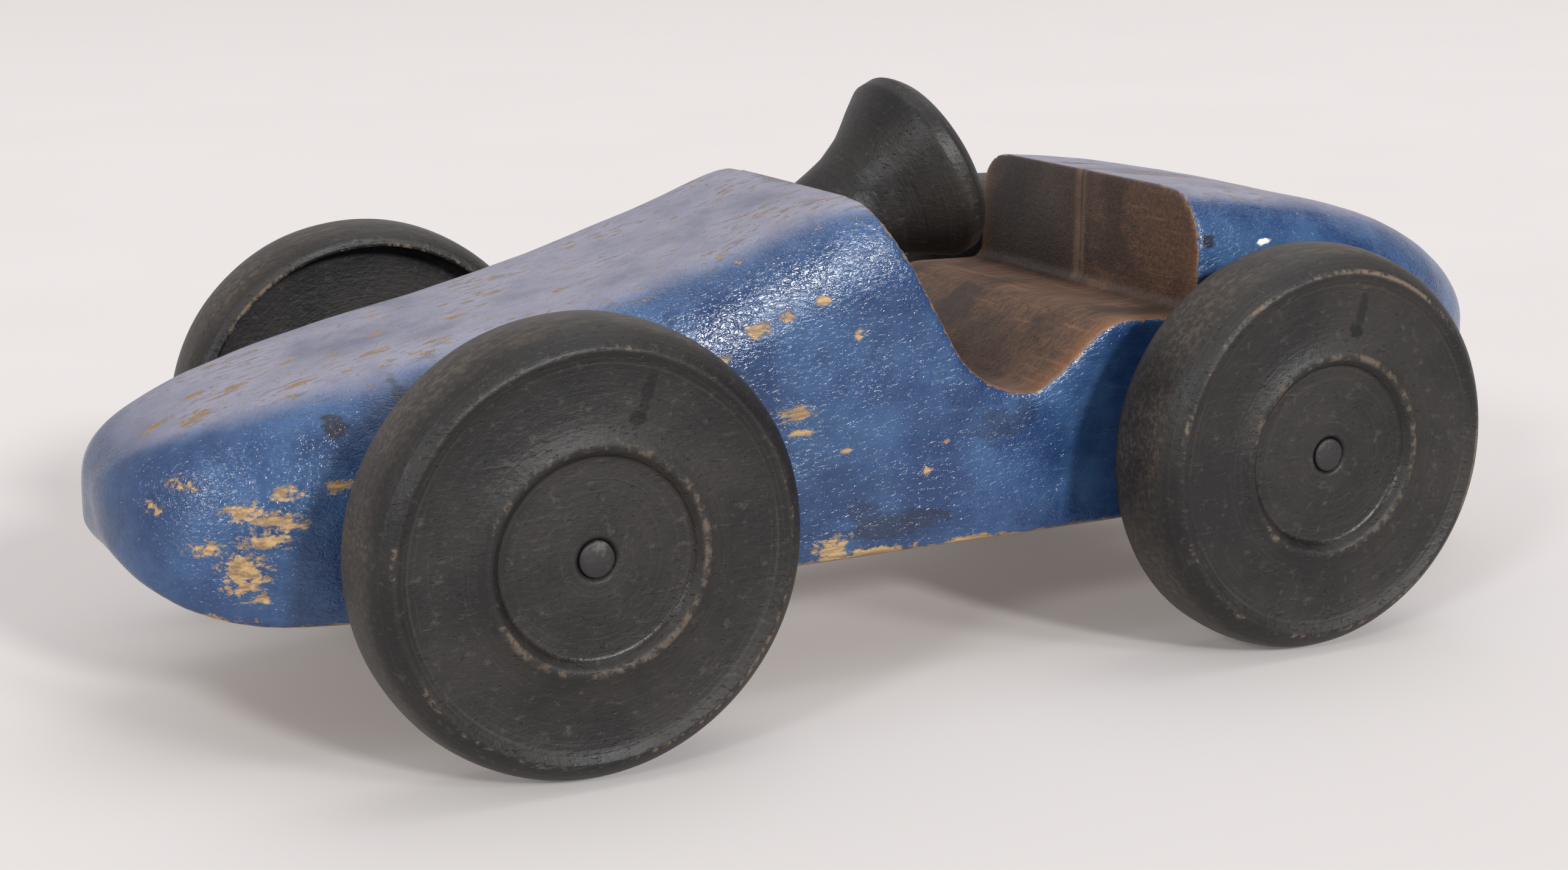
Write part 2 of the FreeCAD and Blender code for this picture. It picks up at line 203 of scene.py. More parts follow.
drill_bm = bmesh.new()
for x, z in BORES:
    rod_between(drill_bm, Vector((x, -CUT_REACH, z)), Vector((x, CUT_REACH, z)),
                BORE_RADIUS, BORE_STEPS)
rod_between(drill_bm, STEERING_FOOT - STEERING_AXIS * STEERING_BORE_DEPTH,
            STEERING_FOOT + STEERING_AXIS * STEERING_BORE_LEAD, BORE_RADIUS, BORE_STEPS)
drills = new_piece(drill_bm, "drills")

cut_from(blank, cockpit_cutter)
cut_from(blank, drills)
sanded = blank.modifiers.new("sanded", "REMESH")
sanded.mode = "VOXEL"
sanded.voxel_size = SANDED_GRAIN * MM
smoothed = blank.modifiers.new("smoothed", "SMOOTH")
smoothed.iterations = 2
smoothed.factor = 0.5


def applied_mesh(piece):
    """Return a mesh with all the piece's modifiers applied."""
    bpy.context.view_layer.update()
    graph = bpy.context.evaluated_depsgraph_get()
    return bpy.data.meshes.new_from_object(piece.evaluated_get(graph))


carved = bmesh.new()
carved.from_mesh(applied_mesh(blank))
for helper in (blank, cockpit_cutter, drills):
    bpy.data.objects.remove(helper)


def distance_to_cut(x, z):
    """Distance in mm from a point, seen from the side, to the cockpit's sawn outline."""
    best = 99.0
    for (ax, az), (bx, bz) in zip(cut_line, cut_line[1:] + cut_line[:1]):
        run_x, run_z = bx - ax, bz - az
        share = ((x - ax) * run_x + (z - az) * run_z) / max(run_x**2 + run_z**2, 1e-9)
        share = min(1.0, max(0.0, share))
        best = min(best, math.hypot(x - ax - share * run_x, z - az - share * run_z))
    return best


# Where the paint is chipped on the near side and on top. Each chip's centre and its reach
# along, across and up, in mm. A point's distance is counted in reaches, so 1 is the limit.
CHIPS = (
    ((168.0, 44, 43.6), (5.6, 14, 5.8)), ((167.0, 44, 56.8), (5.0, 14, 2.4)),
    ((160.5, 45, 54.5), (6.5, 14, 2.4)), ((163.5, 45, 50.5), (5.5, 14, 2.2)),
    ((174.5, 43, 49.0), (5.5, 14, 2.0)), ((178.7, 38, 61.9), (4.5, 14, 2.2)),
    ((158.0, 45, 60.5), (3.6, 14, 1.6)), ((147.0, 47, 61.2), (4.0, 12, 1.6)),
    ((164.5, 45, 38.0), (3.0, 12, 1.6)), ((183.0, 33, 57.0), (3.0, 12, 1.6)),
    ((32.5, 51, 33.4), (5.0, 8, 3.6)), ((21.0, 51, 31.2), (12.0, 8, 2.0)),
    ((-6.0, 51, 31.0), (10.0, 8, 1.5)), ((42.3, 51, 67.2), (5.5, 8, 1.7)),
    ((40.5, 51, 62.5), (3.5, 8, 1.0)), ((8.0, 51, 49.6), (2.6, 8, 1.1)),
    ((2.9, 51, 56.3), (2.0, 8, 0.9)), ((29.5, 51, 57.2), (2.2, 8, 0.9)),
    ((51.4, 49, 87.0), (3.6, 9, 2.1)), ((60.0, 49, 81.5), (2.2, 8, 1.2)),
    ((44.0, 49, 90.0), (2.0, 9, 1.5)), ((35.0, 49, 92.5), (2.2, 9, 1.5)),
    ((150.0, 47, 30.3), (22.0, 10, 1.3)), ((176.0, 38, 33.0), (9.0, 12, 1.6)),
    ((26.0, 50, 84.0), (1.8, 9, 1.2)), ((171.0, 17, 73.0), (4.5, 2.6, 7)),
    ((178.0, 9, 71.0), (5.0, 2.0, 6)), ((160.0, 8, 78.0), (4.0, 1.8, 6)),
    ((150.0, 24, 79.5), (4.5, 1.8, 6)), ((131.0, 20, 85.0), (3.8, 1.7, 6)),
    ((139.0, 12, 84.0), (3.0, 1.4, 6)), ((118.0, 26, 86.0), (3.5, 1.5, 6)),
    ((167.0, 2, 75.5), (3.0, 1.6, 6)), ((146.0, 3, 82.0), (3.2, 1.4, 6)),
    ((126.0, 6, 86.0), (2.6, 1.4, 6)), ((109.0, 12, 90.0), (3.0, 1.3, 6)),
    ((97.0, 2, 92.0), (2.6, 1.2, 6)), ((86.0, 18, 94.0), (2.4, 1.2, 6)),
)


def distance_to_chip(x, y, z):
    """Distance from a point to the nearest chip, counted in that chip's reach."""
    best = 3.0
    for (cx, cy, cz), (rx, ry, rz) in CHIPS:
        if abs(x - cx) < 3 * rx and abs(z - cz) < 3 * rz:
            best = min(best, Vector(((x - cx) / rx, (y - cy) / ry, (z - cz) / rz)).length)
    return best


# Hand carving leaves the faces very slightly uneven. The sawn cockpit keeps its flat faces.
carved.normal_update()
sawn = carved.verts.layers.float.new("from_cut")
chipped = carved.verts.layers.float.new("from_chip")
for vert in carved.verts:
    x, z = vert.co.x / MM, vert.co.z / MM
    distance = distance_to_cut(x, z) if -85 < x < 45 and z > 55 else UNTOUCHED
    vert[sawn] = min(distance, UNTOUCHED)
    vert[chipped] = distance_to_chip(x, vert.co.y / MM, z)
    wobble = noise.noise(Vector((x / 26, vert.co.y / MM / 16, z / 18)))
    wobble += 0.35 * noise.noise(Vector((x / 9 + 7, vert.co.y / MM / 7, z / 7)))
    hold = min(1.0, distance / 6.0) * min(1.0, max(0.0, (z - 30.5) / 5.0))
    vert.co += vert.normal * (CARVING_MARKS * wobble * hold * MM)
carved_mesh = bpy.data.meshes.new("carved")
carved.to_mesh(carved_mesh)
carved.free()


def new_material(name):
    """Make an empty node material and return it with its tree and its main shader."""
    material = bpy.data.materials.new(name)
    material.use_nodes = True
    tree = material.node_tree
    tree.nodes.clear()
    output = tree.nodes.new("ShaderNodeOutputMaterial")
    shader = tree.nodes.new("ShaderNodeBsdfPrincipled")
    tree.links.new(shader.outputs["BSDF"], output.inputs["Surface"])
    return material, tree, shader


def put(tree, socket, value):
    """Feed a socket from another socket, or set it to a plain value."""
    if isinstance(value, bpy.types.NodeSocket):
        tree.links.new(value, socket)
    else:
        socket.default_value = value


def maths(tree, operation, *values, clamp=False):
    """Add one Math node and return its result."""
    step = tree.nodes.new("ShaderNodeMath")
    step.operation = operation
    step.use_clamp = clamp
    for socket, value in zip(step.inputs, values):
        put(tree, socket, value)
    return step.outputs[0]


def times(tree, first, second):
    """Multiply two values."""
    return maths(tree, "MULTIPLY", first, second)


def axes(tree, vector):
    """Split a vector into its X, Y and Z."""
    split = tree.nodes.new("ShaderNodeSeparateXYZ")
    put(tree, split.inputs[0], vector)
    return split.outputs


def stored(tree, name):
    """Read a value that the mesh keeps for each of its points."""
    attribute = tree.nodes.new("ShaderNodeAttribute")
    attribute.attribute_name = name
    return attribute


def own_place(tree):
    """The place on the piece, in metres."""
    return tree.nodes.new("ShaderNodeTexCoord").outputs["Object"]


def ramp(tree, value, low, high, at_low=0.0, at_high=1.0):
    """Rise smoothly from at_low to at_high while the value goes from low to high."""
    step = tree.nodes.new("ShaderNodeMapRange")
    step.interpolation_type = "SMOOTHSTEP"
    for name, amount in (("Value", value), ("From Min", low), ("From Max", high),
                         ("To Min", at_low), ("To Max", at_high)):
        put(tree, step.inputs[name], amount)
    return step.outputs["Result"]


def colour(red, green, blue):
    """Turn display values from 0 to 255 into a linear colour."""
    def linear(value):
        share = value / 255
        return share / 12.92 if share <= 0.04045 else ((share + 0.055) / 1.055) ** 2.4
    return (linear(red), linear(green), linear(blue), 1.0)


def blend_colour(tree, share, first, second):
    """Mix two colours."""
    mix = tree.nodes.new("ShaderNodeMix")
    mix.data_type = "RGBA"
    put(tree, mix.inputs[0], share)
    put(tree, mix.inputs[6], first)
    put(tree, mix.inputs[7], second)
    return mix.outputs[2]


def over(tree, under, share, display_colour):
    """Lay a colour, in display values, over another one."""
    return blend_colour(tree, share, under, colour(*display_colour))


def speckle(tree, place, scale, detail=3.0, roughness=0.55, distortion=0.0):
    """Add one Noise node and return its value."""
    texture = tree.nodes.new("ShaderNodeTexNoise")
    put(tree, texture.inputs["Vector"], place)
    texture.inputs["Scale"].default_value = scale
    texture.inputs["Detail"].default_value = detail
    texture.inputs["Roughness"].default_value = roughness
    texture.inputs["Distortion"].default_value = distortion
    return texture.outputs["Fac"]


def stretched(tree, place, scale, move=(0.0, 0.0, 0.0)):
    """Scale and move a place differently along each axis."""
    mapping = tree.nodes.new("ShaderNodeMapping")
    put(tree, mapping.inputs["Vector"], place)
    mapping.inputs["Scale"].default_value = scale
    mapping.inputs["Location"].default_value = move
    return mapping.outputs["Vector"]


def patch(tree, distance, ragged, rag):
    """1 near the middle and 0 from a distance of 1 outwards, with a ragged limit."""
    torn = maths(tree, "MULTIPLY_ADD", ragged, rag * 4, -rag * 2)
    return ramp(tree, maths(tree, "ADD", distance, torn), 1.0, 0.55)


def spot(tree, place, centre, reach, ragged, rag):
    """A patch that is 1 at its centre and fades to 0 at its reach in mm, with ragged limits."""
    centre_m = [value * MM for value in centre]
    reach_m = [1 / (value * MM) for value in reach]
    move = tuple(-c * r for c, r in zip(centre_m, reach_m))
    local = stretched(tree, place, tuple(reach_m), move)
    length = tree.nodes.new("ShaderNodeVectorMath")
    length.operation = "LENGTH"
    put(tree, length.inputs[0], local)
    return patch(tree, length.outputs["Value"], ragged, rag)


def stand_up(tree, shader, height, strength, depth):
    """Let a pattern stand up from the surface by up to the depth, in mm."""
    bump = tree.nodes.new("ShaderNodeBump")
    bump.inputs["Strength"].default_value = strength
    bump.inputs["Distance"].default_value = depth * MM
    put(tree, bump.inputs["Height"], height)
    put(tree, shader.inputs["Normal"], bump.outputs["Normal"])


# Wood grain under every finish here: fine fibres that run along one axis, with slow bands.
grain_group = bpy.data.node_groups.new("wood_grain", "ShaderNodeTree")
grain_group.interface.new_socket("Place", in_out="INPUT", socket_type="NodeSocketVector")
grain_group.interface.new_socket("Fibres", in_out="OUTPUT", socket_type="NodeSocketFloat")
grain_group.interface.new_socket("Bands", in_out="OUTPUT", socket_type="NodeSocketFloat")
grain_in = grain_group.nodes.new("NodeGroupInput")
grain_out = grain_group.nodes.new("NodeGroupOutput")
fine = stretched(grain_group, grain_in.outputs["Place"], (70.0, 900.0, 900.0))
fibres = speckle(grain_group, fine, 1.0, 5.0, 0.6, 0.4)
slow = stretched(grain_group, grain_in.outputs["Place"], (9.0, 120.0, 120.0))
bands = speckle(grain_group, slow, 1.0, 3.0, 0.5, 1.2)
grain_group.links.new(fibres, grain_out.inputs["Fibres"])
grain_group.links.new(bands, grain_out.inputs["Bands"])


def grain(tree, place):
    """Place the wood grain group and return its fibres and its bands."""
    step = tree.nodes.new("ShaderNodeGroup")
    step.node_tree = grain_group
    put(tree, step.inputs["Place"], place)
    return step.outputs["Fibres"], step.outputs["Bands"]


# The body's finish: blue paint brushed over an ochre ground coat on bare brown wood. It is
# chipped along the grain, rubbed pale on top with a painted sheen laid over the rubbing, and
# worn through along the sawn edges.
body_paint, tree, shader = new_material("blue_painted_wood")
place = own_place(tree)
along, across, height = axes(tree, place)
upward = axes(tree, tree.nodes.new("ShaderNodeTexCoord").outputs["Normal"])["Z"]
from_cut = stored(tree, "from_cut").outputs["Fac"]
fibres, bands = grain(tree, place)
mottle = speckle(tree, place, 55.0, 4.0, 0.6)
fleck = speckle(tree, stretched(tree, place, (260.0, 520.0, 520.0)), 1.0, 4.0, 0.65)
streak = speckle(tree, stretched(tree, place, (95.0, 620.0, 620.0)), 1.0, 4.0, 0.6)
rag = speckle(tree, stretched(tree, place, (330.0, 620.0, 620.0), (3.1, 1.7, 5.2)), 1.0, 4.0, 0.7)

deep_blue = colour(29, 51, 88)
mid_blue = colour(50, 78, 115)
paint = blend_colour(tree, ramp(tree, mottle, 0.32, 0.70), deep_blue, mid_blue)
paint = over(tree, paint, ramp(tree, streak, 0.56, 0.78, 0.0, 0.25), (72, 100, 142))
paint = over(tree, paint, ramp(tree, streak, 0.45, 0.28, 0.0, 0.3), (20, 37, 68))
specks = speckle(tree, place, 1500.0, 2.0, 0.5)
paint = over(tree, paint, ramp(tree, specks, 0.66, 0.74, 0.0, 0.5), (24, 34, 58))
# Upward faces are laid pale: partly rubbed paint, partly a painted sheen of the bright wall behind.
rubbed_and_painted_sheen = times(tree, ramp(tree, upward, 0.70, 0.98), ramp(tree, mottle, 0.2, 0.62, 0.35, 0.8))
paint = over(tree, paint, rubbed_and_painted_sheen, (140, 136, 147))
grimy = times(tree, ramp(tree, streak, 0.50, 0.36), ramp(tree, upward, 0.5, 0.95))
grimy = times(tree, grimy, ramp(tree, mottle, 0.45, 0.62, 0.0, 0.5))
paint = over(tree, paint, grimy, (66, 58, 58))

# Where the paint has gone: placed chips, then scattered ones that are denser on top.
bare = patch(tree, stored(tree, "from_chip").outputs["Fac"], rag, 0.8)
scatter_mask = ramp(tree, upward, 0.25, 0.95, 0.60, 0.40)
scatter = ramp(tree, maths(tree, "SUBTRACT", fleck, times(tree, mottle, -0.22)),
               maths(tree, "ADD", scatter_mask, 0.328), maths(tree, "ADD", scatter_mask, 0.365))
bare = maths(tree, "MAXIMUM", bare, scatter)
edge_wear = ramp(tree, maths(tree, "ADD", from_cut, times(tree, rag, 4.0)), 2.7, 2.2)
bottom_height = times(tree, height, 1000.0)
low_edge = ramp(tree, maths(tree, "ADD", bottom_height, times(tree, rag, 4.2)), 33.5, 32.6)
bare = maths(tree, "MAXIMUM", bare, times(tree, low_edge, 0.92))
chip_and_sheen_colour = blend_colour(tree, ramp(tree, fibres, 0.35, 0.65),
                           colour(122, 96, 66), colour(176, 145, 102))
# Chips on upward faces are greyed: a painted sheen over the bare wood.
chip_and_sheen_colour = over(tree, chip_and_sheen_colour, ramp(tree, upward, 0.3, 0.9, 0.0, 0.6), (104, 88, 76))
surface = blend_colour(tree, bare, paint, chip_and_sheen_colour)

# Stains on the paint, from handling and from the shelf.
stains = (
    ((146.0, 41, 73.0), (3.6, 14, 3.2), 0.8), ((131.5, 42, 79.0), (1.6, 14, 5.0), 0.5),
    ((132.5, 42, 73.0), (1.4, 14, 3.0), 0.4), ((16.0, 51, 37.5), (17.0, 10, 3.6), 0.5),
    ((24.0, 51, 41.0), (5.0, 10, 4.0), 0.35), ((-11.0, 51, 58.5), (6.0, 10, 6.0), 0.35),
    ((-19.0, 51, 60.5), (4.0, 10, 4.0), 0.3), ((-72.0, 48, 98.0), (2.4, 14, 2.4), 0.8),
    ((-72.0, 50, 87.0), (3.0, 14, 5.0), 0.8), ((-84.0, 4, 110.0), (11.0, 2.0, 8), 0.5),
    ((-98.0, -8, 108.0), (16.0, 3.0, 8), 0.45), ((-78.0, -16, 110.0), (9.0, 2.5, 8), 0.6),
    ((-118.0, 14, 105.0), (14.0, 4.0, 8), 0.35), ((-140.0, -4, 99.0), (12.0, 7.0, 8), 0.3),
    ((20.0, -3, 113.5), (4.0, 12, 5), 0.35), ((30.0, 16, 111.0), (7.0, 5, 5), 0.2),
)
for centre, reach, strength in stains:
    mark = times(tree, spot(tree, place, centre, reach, streak, 0.5), strength)
    surface = over(tree, surface, mark, (32, 29, 32))
red_mark = spot(tree, place, (164.4, 38, 73.5), (3.2, 6, 1.3), rag, 0.5)
surface = over(tree, surface, times(tree, red_mark, 0.6), (110, 34, 60))
brown_top = maths(tree, "MAXIMUM", spot(tree, place, (18.5, -2, 113.5), (3.0, 13, 5), rag, 0.7),
                  times(tree, spot(tree, place, (-92.0, 2, 109.0), (26, 9, 8), streak, 0.8), 0.55))
surface = over(tree, surface, times(tree, brown_top, 0.8), (98, 78, 64))
pale_mark = spot(tree, place, (-89.8, 49, 96.5), (3.0, 6, 0.9), rag, 0.5)
surface = over(tree, surface, pale_mark, (214, 214, 208))

# The sawn faces were never painted. They are stained dark brown, lighter where the edge was
# rubbed. Painted shade darkens the footwell, the knob's painted shadow falls on the far half
# of the seat back, and a painted strip of light runs down its middle.
stain_cloud = speckle(tree, place, 42.0, 4.0, 0.62)
saw_marks = speckle(tree, stretched(tree, place, (700.0, 45.0, 700.0)), 1.0, 4.0, 0.6)
sawn_wood = blend_colour(tree, ramp(tree, fibres, 0.3, 0.7),
                         colour(64, 45, 33), colour(100, 71, 52))
sawn_wood = over(tree, sawn_wood, ramp(tree, saw_marks, 0.52, 0.72, 0.0, 0.5), (128, 93, 70))
sawn_wood = over(tree, sawn_wood, ramp(tree, stain_cloud, 0.48, 0.64, 0.0, 0.7), (38, 27, 21))
# Painted shadow of the steering knob on the far half of the seat back.
painted_knob_shadow = times(tree, ramp(tree, across, 0.010, -0.002), ramp(tree, along, -0.064, -0.068))
sawn_wood = over(tree, sawn_wood, times(tree, painted_knob_shadow, 0.65), (22, 16, 14))
# A painted strip of light down the middle of the seat back, between the painted shadows.
painted_light_strip = ramp(tree, maths(tree, "ABSOLUTE", maths(tree, "ADD", across, 0.0012)), 0.0036, 0.0008)
painted_light_strip = times(tree, painted_light_strip, ramp(tree, along, -0.066, -0.0685))
painted_light_strip = times(tree, painted_light_strip, ramp(tree, stain_cloud, 0.35, 0.55, 0.3, 1.0))
sawn_wood = over(tree, sawn_wood, times(tree, painted_light_strip, 0.4), (150, 118, 92))
# Painted shade darkens the footwell.
footwell_painted_shade = spot(tree, place, (-12.0, 20, 72.0), (26, 34, 12), stain_cloud, 0.6)
sawn_wood = over(tree, sawn_wood, times(tree, footwell_painted_shade, 0.6), (28, 19, 15))
is_sawn = ramp(tree, from_cut, 0.55, 0.25)
side_edge = ramp(tree, maths(tree, "ABSOLUTE", across), 0.0420, 0.0505)
side_edge = times(tree, side_edge, ramp(tree, stain_cloud, 0.3, 0.6, 0.75, 0.3))
sawn_wood = over(tree, sawn_wood, side_edge, (122, 82, 52))
surface = over(tree, surface, times(tree, edge_wear, 0.85), (132, 100, 66))
surface = blend_colour(tree, is_sawn, surface, sawn_wood)
under = ramp(tree, upward, -0.7, -0.92)
surface = blend_colour(tree, under, surface, blend_colour(
    tree, ramp(tree, bands, 0.4, 0.6), colour(122, 88, 60), colour(152, 116, 82)))

# The thin glue line between the two boards shows on the deck behind the seat.
glue_line = ramp(tree, maths(tree, "ABSOLUTE", maths(tree, "ADD", across, 0.0004)), 0.0006, 0.0002)
on_deck = ramp(tree, along, -0.060, -0.069)
glue_line = times(tree, glue_line, times(tree, on_deck, ramp(tree, mottle, 0.3, 0.5)))
surface = over(tree, surface, times(tree, glue_line, 0.75), (34, 32, 36))
put(tree, shader.inputs["Base Color"], surface)

raw = maths(tree, "MAXIMUM", bare, maths(tree, "MAXIMUM", is_sawn, under))
gloss = ramp(tree, mottle, 0.3, 0.7, 0.17, 0.27)
gloss = maths(tree, "MULTIPLY_ADD", ramp(tree, upward, 0.7, 0.95), 0.3, gloss)
put(tree, shader.inputs["Roughness"], maths(tree, "ADD", gloss, times(tree, raw, 0.3), clamp=True))
shader.inputs["Specular IOR Level"].default_value = 0.5
stipple = speckle(tree, stretched(tree, place, (560.0, 1000.0, 1000.0)), 1.0, 2.0, 0.5, 0.8)
ridges = maths(tree, "ABSOLUTE", maths(tree, "MULTIPLY_ADD", stipple, 2.0, -1.0))
relief = maths(tree, "MULTIPLY_ADD", ridges, -1.2, times(tree, streak, 0.45))
relief = maths(tree, "SUBTRACT", relief, times(tree, bare, 0.6))
relief = maths(tree, "SUBTRACT", relief, times(tree, glue_line, 0.8))
stand_up(tree, shader, relief, 0.8, 0.21)

# The blank is parted along the glue joint, so each board is a closed piece of its own.
for side, half_name in ((1, "left_body_half"), (-1, "right_body_half")):
    half = bmesh.new()
    half.from_mesh(carved_mesh)
    parted = bmesh.ops.bisect_plane(half, geom=half.verts[:] + half.edges[:] + half.faces[:],
                                    plane_co=(0, 0, 0), plane_no=(0, side, 0), clear_inner=True)
    rim = [item for item in parted["geom_cut"] if isinstance(item, bmesh.types.BMEdge)]
    bmesh.ops.triangle_fill(half, use_beauty=False, edges=rim)
    for edge in rim:
        edge.smooth = False
    shade_smooth(half)
    bmesh.ops.recalc_face_normals(half, faces=half.faces)
    half_mesh = bpy.data.meshes.new(half_name + "_carved")
    half.to_mesh(half_mesh)
    half.free()
    board = bpy.data.objects.new(half_name + "_carved", half_mesh)
    bpy.context.scene.collection.objects.link(board)
    board.data.materials.append(body_paint)
    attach(board, "car_body")
    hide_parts(half_name)


# The axles and the steering peg. Plain hardwood dowels with a small chamfer on each end. The
# axles turn in the body's bores, and a wheel is glued on each end.
DOWEL_RADIUS = 4.0
DOWEL_STEPS = 64
# Each axle turns black between these two distances from its middle, in mm.
BLACKENED_FROM = (79.0, 80.5)
axle_wood, tree, shader = new_material("axle_dowel")
place = own_place(tree)
dowel_fibres = speckle(tree, stretched(tree, place, (900.0, 60.0, 900.0)), 1.0, 4.0, 0.6)
worn = speckle(tree, place, 160.0, 3.0, 0.6)
dowel_colour = blend_colour(tree, ramp(tree, dowel_fibres, 0.3, 0.7),
                            colour(120, 92, 62), colour(168, 134, 96))
from_middle = maths(tree, "ABSOLUTE", axes(tree, place)["Y"])
painted_end = ramp(tree, from_middle, *[limit * MM for limit in BLACKENED_FROM])
end_dust = blend_colour(tree, ramp(tree, worn, 0.56, 0.68, 0.0, 0.5),
                        colour(24, 23, 23), colour(92, 88, 84))
dowel_colour = blend_colour(tree, painted_end, dowel_colour, end_dust)
put(tree, shader.inputs["Base Color"], dowel_colour)
put(tree, shader.inputs["Roughness"], ramp(tree, worn, 0.3, 0.7, 0.42, 0.62))
stand_up(tree, shader, maths(tree, "ADD", dowel_fibres, worn), 0.5, 0.3)


def dowel(name, start, end, radius):
    """Cut one dowel with chamfered ends."""
    bm = bmesh.new()
    rod_between(bm, start, end, radius, DOWEL_STEPS)
    ends = [face for face in bm.faces if len(face.verts) > 4]
    rims = [edge for face in ends for edge in face.edges]
    bmesh.ops.bevel(bm, geom=rims, offset=0.5, offset_type="OFFSET", segments=3, profile=0.5,
                    affect="EDGES", material=-1)
    shade_smooth(bm)
    for face in sorted(bm.faces, key=lambda item: -len(item.verts))[:2]:
        bmesh.ops.inset_region(bm, faces=[face], thickness=0.4, depth=0.12)
    bmesh.ops.recalc_face_normals(bm, faces=bm.faces)
    return new_piece(bm, name)


for end in ("front", "rear"):
    low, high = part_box(end + "_axle")
    middle = (low + high) / 2 / MM
    half_length = (high.y - low.y) / 2 / MM
    axle = dowel(end + "_axle_dowel", middle - Vector((0, half_length, 0)),
                 middle + Vector((0, half_length, 0)), DOWEL_RADIUS)
    axle.data.materials.append(axle_wood)
    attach(axle, end + "_wheelset")
    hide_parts(end + "_axle")


# The wheels. Each is turned from one block of wood: a sunk hub behind a raised lip, a dished
# face, a ridge and a round shoulder outside, and a wide recess round a boss inside.
# Each row: radius, depth behind the outer face and the round of that corner, in mm.
WHEEL_PROFILE = (
    (4.05, 3.0, 0.0),
    (4.9, 2.05, 0.4),
    (21.6, 2.4, 0.6),
    (22.8, 0.7, 0.9),
    (24.2, -0.15, 1.1),
    (27.2, 1.0, 2.0),
    (35.0, 1.8, 6.0),
    (42.0, 1.2, 2.0),
    (44.3, 0.0, 1.3),
    (47.9, 3.0, 2.8),
    (49.75, 8.0, 4.0),
    (50.0, 14.0, 4.0),
    (49.3, 20.5, 3.5),
    (46.4, 24.5, 2.2),
    (44.6, 24.3, 0.8),
    (43.9, 17.8, 1.8),
    (14.2, 17.2, 1.6),
    (14.0, 34.35, 0.6),
    (4.05, 34.4, 0.25),
)
WHEEL_STEPS = 144
# How far each wheel strays from true, and the radius of the hub's corner, where stain gathers.
OUT_OF_ROUND = 0.22
HUB_CORNER = 22.2


def turned(bm, profile, corner_steps, steps):
    """Spin a closed profile of radius, depth and corner round about the Z axis, depth down."""
    corners = [bm.verts.new((radius, 0, -depth)) for radius, depth, _bend in profile]
    bm.faces.new(corners)
    for corner, (_radius, _depth, bend) in zip(corners, profile):
        round_corner(bm, corner, bend, corner_steps)
    bmesh.ops.delete(bm, geom=bm.faces[:], context="FACES_ONLY")
    long_edges = [edge for edge in bm.edges if edge.calc_length() > 3.0]
    bmesh.ops.subdivide_edges(bm, edges=long_edges, cuts=3)
    bmesh.ops.spin(bm, geom=bm.verts[:] + bm.edges[:], axis=(0, 0, 1), cent=(0, 0, 0),
                   angle=math.tau, steps=steps, use_merge=True, use_duplicate=False)
    bmesh.ops.remove_doubles(bm, verts=bm.verts, dist=0.0005)
    bmesh.ops.recalc_face_normals(bm, faces=bm.faces)


def keep_own_place(bm, name):
    """Store each point's place on the piece as it stood on the lathe, in metres."""
    layer = bm.verts.layers.float_vector.new(name)
    for vert in bm.verts:
        vert[layer] = vert.co * MM


